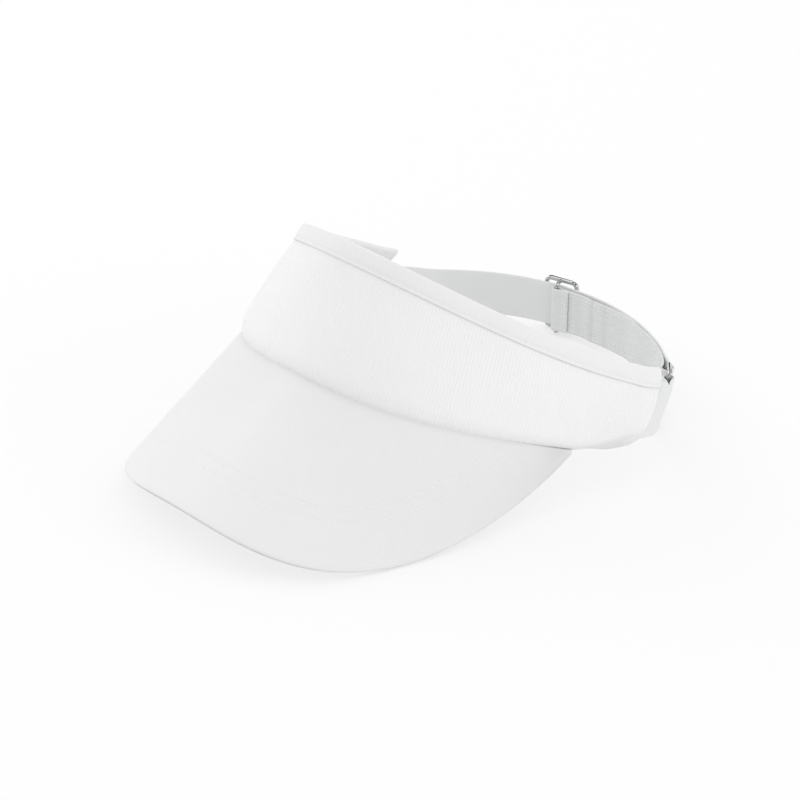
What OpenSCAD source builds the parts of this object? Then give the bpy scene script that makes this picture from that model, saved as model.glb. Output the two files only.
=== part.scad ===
// Sun visor: curved fabric crown panel, stiffened peak, and a webbing strap that is
// adjusted with a tri-glide and a rectangular ring. Front is -Y, wearer's left is +X,
// up is +Z, and the visor stands on z = 0.

/* [Crown panel] */
// Half width of the brow line, where the panel meets the peak
brow_half_w = 89.6; // [85:0.1:95]
// Distance from the widest point forward to the middle of the brow line
brow_depth = 108.5; // [102:0.5:114]
// Height of the middle of the brow line
brow_h = 55.4; // [53:0.1:60]
// Half width of the top edge
crown_half_w = 82.8; // [79:0.1:86]
// Depth of the top edge's front curve
crown_depth = 92.4; // [88:0.1:96]
// Height of the top edge at the front
crown_h = 105.3; // [102:0.1:112]
// Angle from the front to each end of the panel
panel_end = 100; // [94:1:102]
// How far the panel puffs out just above the peak
panel_puff = 3.8; // [0:0.1:5]

/* [Peak] */
// Length of the peak forward of the brow line
peak_len = 75.9; // [65:0.1:85]
// Slope of the peak below level
peak_tilt = 29.7; // [27:0.1:32]
// Radius that the flat board is bent to
peak_bend_r = 89.2; // [88.5:0.1:95]
// Angle from the front to each peak corner
corner_angle = 74; // [70:1:75]
// Thickness of the moulded board
board_t = 1.8; // [1.2:0.1:2.4]

/* [Fabric] */
// Thickness of the twill
twill_t = 0.7; // [0.5:0.1:0.9]
// Thickness of the backing
backing_t = 0.5; // [0.3:0.1:0.6]
// Width of the top binding on each side of the edge
binding_w = 6.6; // [5:0.1:9]
// Height of the sweatband
sweatband_h = 24; // [20:1:25]
// Thickness of the sweatband's foam
foam_t = 1.6; // [1:0.1:2]

/* [Strap] */
// Width of the webbing
strap_w = 22; // [20:0.5:23]
// Thickness of the webbing
strap_t = 1.2; // [0.9:0.1:1.3]
// Inner radius of the strap's run round the back
strap_r = 98; // [96:0.5:100]
// Height of the strap's lower edge
strap_z = 2.7; // [2.6:0.1:4]
// Angle of the tri-glide from the middle of the back, toward the wearer's left
glide_angle = -12.5; // [-20:0.5:-10]
// Length of the tri-glide along the strap
glide_len = 18.4; // [16:0.2:20]
// Angle of the ring from the middle of the back
ring_angle = 46.3; // [46:0.1:47]
// Distance between the ring's two long bars
ring_gap = 9.5; // [9:0.1:10]
// Diameter of the wire of the ring and the tri-glide
wire_d = 2.2; // [2:0.1:2.4]

/* [Hidden] */
$fn = 48;

centre_y = 46.2;         // y of the brow line's widest point; the whole visor is centred on the origin
brow_square = 0.92;      // below 1 gives the brow line a squarer front
crown_square = 1.10;     // above 1 gives the top edge a rounder side
crown_round = 1.06;
crown_y = 14.4;          // the top edge's widest point is this far behind the brow line's
crown_fall = -79.1;      // fall of the top edge toward the back
crown_curve = 18.0;
back_fall = -21.9;       // fall of the panel's free lower edge behind the peak corner
back_curve = -2.0;
puff_at = 0.124;         // part of the wall height where the puff is widest
corner_s = 118;          // peak corner on the flat board: half width and setback
corner_f = -52;
rim_square = 0.68;
rim_round = 1.02;
rim_waist = -3.0;

gap = 0.1;               // air between sewn layers
run_gap = 0.3;           // air between layers that slide
thread = 0.3;            // height of a thread above the cloth
thread_w = 0.5;
thread_gap = 0.05;
step = 4;                // degrees between stations along the panel
row_in = 20;             // outer stitch row's distance from the rim of the peak
row_gap = 5.5;
edge_in = 2.5;           // distance of the strap's stitching from its edges
cover_low = board_t / 2 + 1.5 * gap;
cover_high = cover_low + twill_t;
rim_lip = [[0.955, 1], [0.98, 0.55], [1, 0.08]];   // the covers close in to the rim's seam
peak_rows = [0.15, 0.35, 0.55, 0.75];
corner_cut = 0.985;      // where the layers stop short of the corner
band_end = panel_end - 9;
band_off = -2.2;         // outer face of the sweatband's hidden leg
fold_t = 0.6;            // thickness of the binding and of the sweatband's cloth

strap_y = centre_y - 18.5;   // centre of the strap's run
strap_turn = 46;         // angle where the run turns up toward the panel's end
tail_up = 1.5;           // height of the strap's end above the panel's lower edge
tail_off = -2.7;         // inner face of the strap's end inside the panel
tab_off = -1.6;          // outer face of the tab inside the panel
tab_bulge = 2.5;         // how far the tab stands out between the panel and the ring
top_z = strap_z + strap_w;
metal_h = top_z + strap_z;
ring_r = 97.75;          // radius of the ring's centre, midway between the two runs
strap_loop = 2.7;        // middle radius of the strap's loose loop round the ring's bar
tab_loop = 1.85;
loop_at = 38.5;          // angle where the two runs part to go round the ring's bar
leg_end = 0;             // angle where the fixed inner leg stops beside the return run
return_r = strap_r - 2 * run_gap - 2 * strap_t;
return_end = 27;
hem_r = return_r - gap - strap_t;
hem_end = glide_angle + 7;
layer_half = (strap_t + gap) / 2;
glide_loop = 1.7;        // middle radius of the sewn loop round the tri-glide's middle bar
glide_bar_r = return_r - gap / 2;
glide_r = strap_r + strap_t + run_gap + wire_d / 2;
bar_d = 1.8;

// ---------- shapes ----------

function spow(v, e) = sign(v) * pow(abs(v), e);
function unit(v) = v / norm(v);
function span(a, b, n) = [for (i = [0:n]) a + (b - a) * i / n];

// A point on the brow line, at an angle from the front.
function brow(a) = let (
    b = min(abs(a), corner_angle),
    x = brow_half_w * pow(sin(b), brow_square),
    drop = peak_bend_r - sqrt(pow(peak_bend_r, 2) - x * x),
    back = cos(b) - cos(a))
    [brow_half_w * spow(sin(a), brow_square), centre_y - brow_depth * cos(a),
     brow_h + tan(peak_tilt) * brow_depth * (1 - cos(b)) - drop / cos(peak_tilt)
     + back_fall * back + back_curve * back * back];

// A point on the panel's top edge.
function crown(a) = let (back = 1 - cos(a))
    [crown_half_w * spow(sin(a), crown_square),
     centre_y + crown_y - crown_depth * spow(cos(a), crown_round),
     crown_h + crown_fall * back + crown_curve * back * back];

function wall_h(a) = norm(crown(a) - brow(a));
function wall_mid(a) = (crown(a) + brow(a)) / 2;
function wall_out(a) = unit(cross(wall_mid(a + 1) - wall_mid(a - 1), crown(a) - brow(a)));
function puff(v) = v <= 0 ? 0 : v >= 1 ? 0
    : v < puff_at ? sin(90 * v / puff_at) : cos(90 * (v - puff_at) / (1 - puff_at));

// A point on the wall: angle, height up the wall, distance outward, share of the puff.
function wall(a, up, out, p = 0) = let (v = up / wall_h(a))
    brow(a) + (crown(a) - brow(a)) * v + wall_out(a) * (out + p * panel_puff * puff(v));

// The flat board's outline: the seam at the brow line, and the outer rim.
function seam_flat(a) = let (
    x = brow(a)[0],
    drop = peak_bend_r - sqrt(pow(peak_bend_r, 2) - x * x))
    [peak_bend_r * asin(x / peak_bend_r) * PI / 180,
     (drop * sin(peak_tilt) - brow_depth * (1 - cos(a))) / cos(peak_tilt)];
function rim_flat(a) =
    [sign(a) * (corner_s * pow(abs(sin(a)), rim_square) + rim_waist * abs(sin(2 * a))),
     corner_f + (peak_len - corner_f) * pow(abs(cos(a)), rim_round)];

// A point of the flat board bent to its radius, h above its middle surface.
function bent(p, h) = let (
    a = p[0] / peak_bend_r * 180 / PI,
    drop = peak_bend_r - (peak_bend_r + h) * cos(a))
    [(peak_bend_r + h) * sin(a),
     centre_y - brow_depth - p[1] * cos(peak_tilt) + drop * sin(peak_tilt),
     brow_h - p[1] * sin(peak_tilt) - drop * cos(peak_tilt)];

// A point of the peak: u from corner to corner, v from the seam to the rim.
function peak(u, v, h) = bent(seam_flat(corner_angle * u) * (1 - v) + rim_flat(90 * u) * v, h);

// A point at an angle round the strap's run.
function run(a, r, z) = [r * sin(a), strap_y + r * cos(a), z];
// A point in the frame of a fitting on the run: s along the strap, q outward.
function fitting(a, r, s, q, z) = [r * sin(a) + s * cos(a) + q * sin(a),
    strap_y + r * cos(a) - s * sin(a) + q * cos(a), z];
function bezier(a, b, c, d, t) = a * pow(1 - t, 3) + b * 3 * t * pow(1 - t, 2)
    + c * 3 * t * t * (1 - t) + d * pow(t, 3);

// A solid through a list of rings. Each ring is two facing rows of points.
module skin(rings) {
    n = len(rings[0]);
    last = (len(rings) - 1) * n;
    sides = [for (i = [0:len(rings) - 2], j = [0:n - 1])
        let (a = i * n + j, b = i * n + (j + 1) % n) each [[a, b, b + n], [a, b + n, a + n]]];
    ends = [for (j = [0:n / 2 - 2]) each [
        [n - 2 - j, j + 1, j], [n - 1 - j, n - 2 - j, j],
        [last + j, last + j + 1, last + n - 2 - j], [last + j, last + n - 2 - j, last + n - 1 - j]]];
    polyhedron([for (ring = rings) each ring], concat(sides, ends));
}

function reverse(v) = [for (i = [len(v) - 1:-1:0]) v[i]];

// A layer of the puffed wall between two depths, with its rows at parts of the wall's height.
module wall_layer(rows, out_low, out_high) {
    skin([for (a = span(-panel_end, panel_end, 2 * panel_end / step)) let (h = wall_h(a)) concat(
        [for (v = rows) wall(a, v * h, out_high, 1)],
        [for (v = reverse(rows)) wall(a, v * h, out_low, 1)])]);
}

// A strip folded over an edge: the inner faces of its legs are at out_a and out_b, the fold
// is round and centred at up_fold, and p is its share of the panel's puff.
function folded(a, up_low, up_fold, out_a, out_b, t, p) = let (
    middle = (out_a + out_b) / 2,
    r = (out_a - out_b) / 2,
    up_mid = (up_low + up_fold) / 2,
    arc = [0:30:180])
    concat([for (up = [up_low, up_mid]) wall(a, up, out_a + t, p)],
        [for (k = arc) wall(a, up_fold + (r + t) * sin(k), middle + (r + t) * cos(k), p)],
        [for (up = [up_mid, up_low]) wall(a, up, out_b - t, p)],
        [for (up = [up_low, up_mid]) wall(a, up, out_b, p)],
        [for (k = arc) wall(a, up_fold + r * sin(k), middle - r * cos(k), p)],
        [for (up = [up_mid, up_low]) wall(a, up, out_a, p)]);

// A layer of the peak from the seam to the rim, in rows of [v, low face, high face].
module peak_layer(rows) {
    skin([for (u = span(-corner_cut, corner_cut, 44)) concat(
        [for (r = rows) peak(u, r[0], r[1])], [for (r = reverse(rows)) peak(u, r[0], r[2])])]);
}

// A row of thread through a list of stations, each a point and the way out of the cloth.
module thread_row(stations) {
    last = len(stations) - 1;
    skin([for (i = [0:last]) let (
        along = stations[min(i + 1, last)][0] - stations[max(i - 1, 0)][0],
        side = unit(cross(along, stations[i][1])) * thread_w / 2,
        foot = stations[i][0] + stations[i][1] * thread_gap,
        head = foot + stations[i][1] * thread)
        [foot - side, foot + side, head + side, head - side]]);
}

// ---------- crown ----------

module crown_panel() {
    color("white")
        wall_layer([0.012, 0.06, puff_at, 0.35, 0.6, 0.8, 0.995], 0, twill_t);
}

module panel_backing() {
    color("whitesmoke")
        wall_layer([0.03, 0.06, puff_at, 0.35, 0.6, 0.8, 0.99], -gap - backing_t, -gap);
}

module top_binding() {
    color("white")
        skin([for (a = span(-panel_end, panel_end, 2 * panel_end / step)) let (h = wall_h(a))
            folded(a, h - binding_w, h + gap, twill_t + gap, -2 * gap - backing_t, fold_t, 1)]);
}

module binding_stitch() {
    color("gainsboro")
        thread_row([for (a = span(-panel_end + 1, panel_end - 1, 60))
            [wall(a, wall_h(a) - binding_w + 1.4, twill_t + gap + fold_t, 1), wall_out(a)]]);
}

module sweatband() {
    color("whitesmoke")
        skin([for (a = span(-band_end, band_end, 44))
            folded(a, 1, sweatband_h - foam_t, band_off, band_off - foam_t - 2 * gap, fold_t, 0)]);
}

module sweatband_foam() {
    inner = band_off - gap - foam_t;
    outer = band_off - gap;
    color("lightyellow")
        skin([for (a = span(-band_end + 1, band_end - 1, 44)) [
            wall(a, 1.5, outer), wall(a, sweatband_h - foam_t, outer),
            wall(a, sweatband_h - foam_t, inner), wall(a, 1.5, inner)]]);
}

module sweatband_stitch() {
    face = band_off - foam_t - 3 * gap - fold_t;
    color("gainsboro")
        thread_row([for (a = span(-band_end + 1, band_end - 1, 60))
            [wall(a, 4, face), -wall_out(a)]]);
}

module peak_seam_allowance() {
    color("white")
        skin([for (a = span(-corner_angle + 2, corner_angle - 2, 40)) [
            wall(a, 1.2, -0.6), wall(a, 9, -0.6), wall(a, 9, -1.2), wall(a, 1.2, -1.2)]]);
}

module end_tack(side) {
    a = side * (panel_end - 2.5);
    for (k = [0, 1])
        thread_row([for (t = span(0.1, 0.62, 6)) let (b = a - side * 2.5 * k)
            [wall(b, t * wall_h(b), twill_t + gap, 1), wall_out(b)]]);
}

module right_end_tack() {
    color("gainsboro") end_tack(-1);
}

module left_end_tack() {
    color("gainsboro") end_tack(1);
}

// ---------- peak ----------

module peak_cover(side) {
    rows = concat([for (v = [0.012, each peak_rows]) [v, cover_low, cover_high]],
        [for (r = rim_lip) [r[0], cover_low * r[1], cover_low * r[1] + twill_t * max(r[1], 0.75)]]);
    peak_layer([for (r = rows) side > 0 ? r : [r[0], -r[2], -r[1]]]);
}

module peak_top_cover() {
    color("white") peak_cover(1);
}

module peak_under_cover() {
    color("whitesmoke") peak_cover(-1);
}

module peak_board() {
    color("ivory")
        peak_layer([for (v = [0.03, each peak_rows, 0.94]) [v, -board_t / 2, board_t / 2]]);
}

// A stitch row at a distance in from the rim, on top of the peak.
module peak_row(inset, reach) {
    color("gainsboro")
        thread_row([for (a = span(-reach, reach, 64)) let (
            edge = unit(rim_flat(a + 0.5) - rim_flat(a - 0.5)),
            inward = [edge[1], -edge[0]],
            p = rim_flat(a) + inward * inset)
            [bent(p, cover_high), bent(p, 1) - bent(p, 0)]]);
}

module peak_stitch_outer() {
    peak_row(row_in, 79);
}

module peak_stitch_inner() {
    peak_row(row_in + row_gap, 75);
}

// ---------- strap ----------

// Four corners of the webbing, from the right of its direction of travel to the left.
function band(right, left) = [[right[0], right[1], strap_z], [right[0], right[1], top_z],
    [left[0], left[1], top_z], [left[0], left[1], strap_z]];
function arc_band(a, r_right, r_left) = band(run(a, r_right, 0), run(a, r_left, 0));
function fitting_band(a, r, s, q_right, q_left) =
    band(fitting(a, r, s, q_right, 0), fitting(a, r, s, q_left, 0));

// The end of a strap sewn inside the panel.
function panel_band(a, out_right, out_left) = [wall(a, tail_up, out_right),
    wall(a, tail_up + strap_w, out_right), wall(a, tail_up + strap_w, out_left),
    wall(a, tail_up, out_left)];
function panel_bands(side, out_right, out_left) =
    [for (k = [6, 3, 0]) panel_band(side * (panel_end - k), out_right, out_left)];

// Bands from the panel's end to a band on the run, arriving in a given heading.
function tail(side, from, to, heading, reach, bulge) = let (
    leave = unit(wall(side * panel_end, 12, 0) - wall(side * (panel_end - 4), 12, 0)))
    [for (t = [0.125:0.125:0.9]) [for (k = [0:3])
        bezier(from[k], from[k] + leave * reach, to[k] - heading * reach, to[k], t)
        + [side * bulge * sin(180 * t), 0, 0]]];

// Bands round a bar of a fitting; turn is 1 for a turn to the right and -1 to the left.
function bar_loop(angle, r, s, mid, turn, a, b) = [for (k = span(a, b, 10)) band(
    fitting(angle, r, s + (mid - turn * strap_t / 2) * cos(k), (mid - turn * strap_t / 2) * sin(k), 0),
    fitting(angle, r, s + (mid + turn * strap_t / 2) * cos(k), (mid + turn * strap_t / 2) * sin(k), 0))];

module adjusting_strap() {
    sewn = panel_bands(-1, tail_off, tail_off + strap_t);
    first = arc_band(-strap_turn, strap_r, strap_r + strap_t);
    color("white")
        skin(concat(sewn,
            tail(-1, sewn[2], first, [cos(strap_turn), sin(strap_turn), 0], 10, 0),
            [for (a = span(-strap_turn, loop_at, 30)) arc_band(a, strap_r, strap_r + strap_t)],
            bar_loop(ring_angle, ring_r, -ring_gap / 2, strap_loop, 1, 145, -145),
            [for (a = span(loop_at, leg_end, 12))
                arc_band(a, strap_r - run_gap, strap_r - run_gap - strap_t)]));
}

// A row of thread along the run; dir is 1 on an outer face and -1 on an inner one.
module arc_thread(r, dir, z, a, b) {
    thread_row([for (k = span(a, b, 30)) [run(k, r, z), run(k, dir, 0) - run(k, 0, 0)]]);
}

// A row of thread across the webbing, at a point of a fitting's frame.
module cross_thread(a, r, s, q, dir) {
    out = fitting(a, 0, 0, dir, 0) - fitting(a, 0, 0, 0, 0);
    thread_row([for (z = span(strap_z + edge_in, top_z - edge_in, 6))
        [fitting(a, r, s, q, z), out]]);
}

module strap_stitch() {
    color("gainsboro")
        for (z = [strap_z + edge_in, top_z - edge_in])
            arc_thread(strap_r + strap_t, 1, z, glide_angle + 20, loop_at);
}

module strap_return() {
    color("white")
        skin(concat(
            [for (a = span(return_end, glide_angle + 2.8, 12))
                arc_band(a, return_r + strap_t, return_r)],
            bar_loop(glide_angle, glide_bar_r, 0, glide_loop, -1, 50, 310),
            [for (a = span(glide_angle + 2.8, hem_end, 2)) arc_band(a, hem_r, hem_r + strap_t)]));
}

module return_stitch() {
    color("gainsboro")
        for (z = [strap_z + edge_in, top_z - edge_in])
            arc_thread(return_r, -1, z, hem_end + 1, return_end);
}

module glide_loop_stitch() {
    color("gainsboro")
        for (a = [hem_end - 2, hem_end - 1])
            cross_thread(a, hem_r, 0, 0, -1);
}

// An upright bar of a fitting, with round ends.
module upright(d) {
    translate([0, 0, wire_d / 2])
        cylinder(d = d, h = metal_h - wire_d);
    for (z = [wire_d / 2, metal_h - wire_d / 2])
        translate([0, 0, z])
            sphere(d = wire_d);
}

module tri_glide() {
    half = (glide_len - wire_d) / 2 / glide_r * 180 / PI;
    color("silver") {
        for (a = [glide_angle - half, glide_angle + half])
            translate(run(a, glide_r, 0))
                upright(wire_d);
        translate(run(glide_angle, glide_bar_r, 0))
            upright(bar_d);
        for (z = [wire_d / 2, metal_h - wire_d / 2]) {
            translate([0, strap_y, z])
                rotate([0, 0, 90 - glide_angle - half])
                    rotate_extrude(angle = 2 * half)
                        translate([glide_r, 0])
                            circle(d = wire_d);
            translate(run(glide_angle, glide_bar_r, z))
                rotate([-90, 0, -glide_angle])
                    cylinder(d = wire_d, h = glide_r - glide_bar_r);
        }
    }
}

// One layer of the tab, from inside the panel to the ring; q is its place in the ring's frame.
function tab_layer(out, q) = let (
    sewn = panel_bands(1, out, out - strap_t),
    seats = [for (s = [ring_gap / 2 + 6.5, ring_gap / 2 + 3.8])
        fitting_band(ring_angle, ring_r, s, q + strap_t / 2, q - strap_t / 2)])
    concat(sewn, tail(1, sewn[2], seats[0], [-cos(ring_angle), sin(ring_angle), 0], 6, tab_bulge), seats);

module ring_tab() {
    color("white")
        skin(concat(tab_layer(tab_off, layer_half),
            bar_loop(ring_angle, ring_r, ring_gap / 2, tab_loop, -1, 50, 310),
            [for (b = reverse(tab_layer(tab_off - strap_t - gap, -layer_half))) reverse(b)]));
}

module tab_stitch() {
    color("gainsboro")
        cross_thread(ring_angle, ring_r, ring_gap / 2 + 5, layer_half + strap_t / 2, 1);
}

module rect_ring() {
    color("silver")
        translate(run(ring_angle, ring_r, 0))
            rotate([0, 0, -ring_angle]) {
                for (s = [-ring_gap / 2, ring_gap / 2])
                    translate([s, 0, 0])
                        upright(wire_d);
                for (z = [wire_d / 2, metal_h - wire_d / 2])
                    translate([-ring_gap / 2, 0, z])
                        rotate([0, 90, 0])
                            cylinder(d = wire_d, h = ring_gap);
            }
}

crown_panel();
panel_backing();
top_binding();
binding_stitch();
sweatband();
sweatband_foam();
sweatband_stitch();
peak_seam_allowance();
peak_top_cover();
peak_board();
peak_under_cover();
peak_stitch_outer();
peak_stitch_inner();
right_end_tack();
left_end_tack();
adjusting_strap();
strap_stitch();
strap_return();
return_stitch();
glide_loop_stitch();
tri_glide();
ring_tab();
tab_stitch();
rect_ring();
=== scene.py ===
from math import asin, atan2, cos, pi, radians, sin, sqrt, tan

import bpy
from mathutils import Matrix, Vector


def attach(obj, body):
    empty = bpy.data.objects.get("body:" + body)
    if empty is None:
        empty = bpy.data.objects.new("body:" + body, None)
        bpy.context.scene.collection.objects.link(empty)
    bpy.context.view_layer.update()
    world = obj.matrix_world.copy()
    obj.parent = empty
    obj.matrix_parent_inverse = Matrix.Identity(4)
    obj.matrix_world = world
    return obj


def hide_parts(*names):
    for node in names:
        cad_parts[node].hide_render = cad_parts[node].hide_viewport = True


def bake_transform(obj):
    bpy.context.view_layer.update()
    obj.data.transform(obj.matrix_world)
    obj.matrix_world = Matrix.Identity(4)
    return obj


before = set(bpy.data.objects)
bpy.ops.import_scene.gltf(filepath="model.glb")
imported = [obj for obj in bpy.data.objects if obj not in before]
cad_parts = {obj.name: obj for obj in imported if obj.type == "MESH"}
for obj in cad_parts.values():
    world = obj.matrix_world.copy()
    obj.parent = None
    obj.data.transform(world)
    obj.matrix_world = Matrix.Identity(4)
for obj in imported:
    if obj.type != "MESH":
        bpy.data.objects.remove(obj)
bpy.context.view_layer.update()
mm = 0.001
print("frame loaded")


# shape of the crown, the peak and the strap, in millimetres and degrees

crown = {
    "centre": 46.2, "end": 100,
    "browHalf": 89.6, "browDepth": 108.5, "browHeight": 55.4, "browSquare": 0.92,
    "edgeFall": -21.9, "edgeCurve": -2.0,
    "topHalf": 82.8, "topDepth": 92.4, "topHeight": 105.3, "topSquare": 1.10, "topRound": 1.06,
    "topBack": 14.4, "topFall": -79.1, "topCurve": 18.0,
    "puff": 3.8, "puffAt": 0.124,
    "cutFrom": 76, "endCut": 20.0, "dropFrom": 75, "dropFull": 90, "endDrop": 1.8,
}
peakForm = {
    "length": 75.9, "tilt": 29.7, "bend": 89.2, "corner": 74,
    "cornerHalf": 118, "cornerBack": -52, "rimSquare": 0.68, "rimRound": 1.02, "rimWaist": -3.0,
}
strapForm = {
    "centre": 27.7, "inner": 98.0, "thick": 1.2, "low": 2.7, "high": 24.7, "turnUp": -46,
    "slack": 0.3, "glideAt": -12.5, "ringAt": 46.3, "ringRadius": 97.75, "ringGap": 9.5,
    "metalHeight": 27.4, "wire": 2.2, "loop": 2.95, "lean": 15, "leanFrom": 28, "leanFull": 44,
}


def sind(a):
    return sin(radians(a))


def cosd(a):
    return cos(radians(a))


def power(v, e):
    return abs(v) ** e * (1 if v >= 0 else -1)


def mix(a, b, t):
    return a + (b - a) * t


def smooth(t):
    t = min(1, max(0, t))
    return t * t * (3 - 2 * t)


def span(a, b, n):
    return [a + (b - a) * i / n for i in range(n + 1)]


def brow(a):  # the line where the panel meets the peak
    c, p = crown, peakForm
    b = min(abs(a), p["corner"])
    x = c["browHalf"] * sind(b) ** c["browSquare"]
    drop = p["bend"] - sqrt(p["bend"] ** 2 - x * x)
    back = cosd(b) - cosd(a)
    return Vector((
        c["browHalf"] * power(sind(a), c["browSquare"]),
        c["centre"] - c["browDepth"] * cosd(a),
        c["browHeight"] + tan(radians(p["tilt"])) * c["browDepth"] * (1 - cosd(b)) - drop / cosd(p["tilt"])
        + c["edgeFall"] * back + c["edgeCurve"] * back * back))


def topEdge(a):
    c = crown
    back = 1 - cosd(a)
    return Vector((
        c["topHalf"] * power(sind(a), c["topSquare"]),
        c["centre"] + c["topBack"] - c["topDepth"] * power(cosd(a), c["topRound"]),
        c["topHeight"] + c["topFall"] * back + c["topCurve"] * back * back))


def wallFrame(a):  # foot, way up, way out, height of the wall, and how its lower corner is drawn in
    foot, top, c = brow(a), topEdge(a), crown
    along = (topEdge(a + 1) + brow(a + 1)) - (topEdge(a - 1) + brow(a - 1))
    cut = c["endCut"] * smooth((abs(a) - c["cutFrom"]) / (c["end"] - c["cutFrom"]))
    drop = c["endDrop"] * smooth((abs(a) - c["dropFrom"]) / (c["dropFull"] - c["dropFrom"]))
    corner = (brow(0.98 * a) - foot).normalized() * cut - Vector((0, 0, drop)) if a else Vector()
    return foot, (top - foot).normalized(), along.cross(top - foot).normalized(), (top - foot).length, corner


def puffed(v):
    at = crown["puffAt"]
    if v <= 0 or v >= 1:
        return 0
    return crown["puff"] * (sind(90 * v / at) if v < at else cosd(90 * (v - at) / (1 - at)))


def wall(place, up, out, share=0):
    foot, rise, outward, height, corner = place
    spot = foot + rise * up + outward * (out + share * puffed(up / height))
    return spot + corner * min(1, max(0, 1 - up / height)) ** 2.1


def seamFlat(a):  # the seam on the flat board, before the board is bent
    x = brow(a).x
    r, t = peakForm["bend"], peakForm["tilt"]
    drop = r - sqrt(r * r - x * x)
    return Vector((r * asin(x / r), (drop * sind(t) - crown["browDepth"] * (1 - cosd(a))) / cosd(t)))


def rimFlat(a):
    p = peakForm
    return Vector((
        (1 if a > 0 else -1 if a < 0 else 0)
        * (p["cornerHalf"] * abs(sind(a)) ** p["rimSquare"] + p["rimWaist"] * abs(sind(2 * a))),
        p["cornerBack"] + (p["length"] - p["cornerBack"]) * abs(cosd(a)) ** p["rimRound"]))


def bent(spot, h):
    r, t = peakForm["bend"], peakForm["tilt"]
    a = spot[0] / r
    drop = r - (r + h) * cos(a)
    return Vector((
        (r + h) * sin(a),
        crown["centre"] - crown["browDepth"] - spot[1] * cosd(t) + drop * sind(t),
        crown["browHeight"] - spot[1] * sind(t) - drop * cosd(t)))


def run(a, r, z):  # round the back, angle from the middle toward the wearer's left
    f = strapForm  # near the ring the strap's lower edge leans in
    turned = smooth((a - f["leanFrom"]) / (f["leanFull"] - f["leanFrom"]))
    r -= tan(radians(f["lean"])) * turned * (f["high"] - z)
    return Vector((r * sind(a), f["centre"] + r * cosd(a), z))


def awayFrom(a):
    return Vector((sind(a), cosd(a), 0))


def fitting(a, r, s, q, z):  # s along the strap and q outward, at a fitting
    return run(a, r + q, z) + Vector((cosd(a), -sind(a), 0)) * s


def evenly(points, count):  # a line of points walked in equal steps
    lengths = [0.0]
    for a, b in zip(points, points[1:]):
        lengths.append(lengths[-1] + (b - a).length)
    placed, k = [], 0
    for i in range(count + 1):
        want = lengths[-1] * i / count
        while k < len(points) - 2 and lengths[k + 1] < want:
            k += 1
        step = lengths[k + 1] - lengths[k]
        placed.append(points[k].lerp(points[k + 1], (want - lengths[k]) / step if step else 0))
    return placed


def lineLength(points):
    return sum((b - a).length for a, b in zip(points, points[1:]))


# making pieces

def deselectAll():
    if bpy.context.object and bpy.context.object.mode != "OBJECT":
        bpy.ops.object.mode_set(mode="OBJECT")
    bpy.ops.object.select_all(action="DESELECT")


def activate(piece):
    deselectAll()
    piece.select_set(True)
    bpy.context.view_layer.objects.active = piece


def useModifier(piece, kind, **values):
    activate(piece)
    modifier = piece.modifiers.new(kind.title(), kind)
    for name, value in values.items():
        setattr(modifier, name, value)
    bpy.ops.object.modifier_apply(modifier=modifier.name)


def turnOutward(piece):
    activate(piece)
    bpy.ops.object.mode_set(mode="EDIT")
    bpy.ops.mesh.select_all(action="SELECT")
    bpy.ops.mesh.remove_doubles(threshold=0.00001)
    bpy.ops.mesh.normals_make_consistent(inside=False)
    bpy.ops.object.mode_set(mode="OBJECT")


def clothStrip(name, columns, rows, section, marks=None):
    # a grid whose columns are laid on sections through the piece; the UV map is in metres
    deselectAll()
    bpy.ops.mesh.primitive_grid_add(x_subdivisions=columns, y_subdivisions=rows, size=2)
    piece = bpy.context.object
    piece.name = piece.data.name = name
    mesh = piece.data
    across = len({round(v.co.x, 5) for v in mesh.vertices}) - 1
    down = len({round(v.co.y, 5) for v in mesh.vertices}) - 1
    lines = [evenly(section(i / across), down) for i in range(across + 1)]
    middle = [line[down // 2] for line in lines]
    length, width = lineLength(middle) * mm, lineLength(lines[across // 2]) * mm
    for mark in marks or {}:
        mesh.attributes.new(mark, "FLOAT", "POINT")
    for v in mesh.vertices:
        i, j = round((v.co.x + 1) / 2 * across), round((v.co.y + 1) / 2 * down)
        for mark, read in (marks or {}).items():
            mesh.attributes[mark].data[v.index].value = read(i / across, j / down, lines[i][j])
        v.co = lines[i][j] * mm
    for corner in mesh.uv_layers.active.data:
        corner.uv = (corner.uv[0] * length, corner.uv[1] * width)
    piece["cutLength"] = max(lineLength(edge) for edge in zip(*lines)) * mm
    piece["cutWidth"] = max(lineLength(line) for line in lines) * mm
    piece["cutArea"] = sum(face.area for face in mesh.polygons)
    return piece


def thicken(piece, thickness, levels=1, offset=0):
    useModifier(piece, "SOLIDIFY", thickness=thickness * mm, offset=offset, use_even_offset=False)
    turnOutward(piece)
    if levels:
        useModifier(piece, "SUBSURF", levels=levels, render_levels=levels)
    activate(piece)
    bpy.ops.object.shade_smooth()


def finishPiece(piece, body, material, slot, *nodes):
    piece.data.materials.clear()
    piece.data.materials.append(material)
    if body:
        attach(piece, body)
    else:  # pieces that run between the sewn strap and the sliding tri-glide get no body; their transform is baked in
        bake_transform(piece)
    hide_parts(*nodes)
    print("made", piece.name)


# floor, light and camera

view = {
    "azimuth": 46.135, "elevation": 28.933, "distance": 1.1726, "lens": 117.31,
    "target": (-0.02058, 0.01868, 0.00336),
}
studio = {
    "floorSize": 8.0, "floorWhite": 0.38, "floorGlow": 0.57, "sky": 0.985,
    "lamps": [  # place, size, watts
        ((-2.0, -0.5, 1.0), 1.5, 9.0),
        ((1.9, 1.0, 0.8), 1.5, 6.6),
        ((0.0, 0.2, 2.4), 2.0, 1.9),
    ],
}


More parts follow.
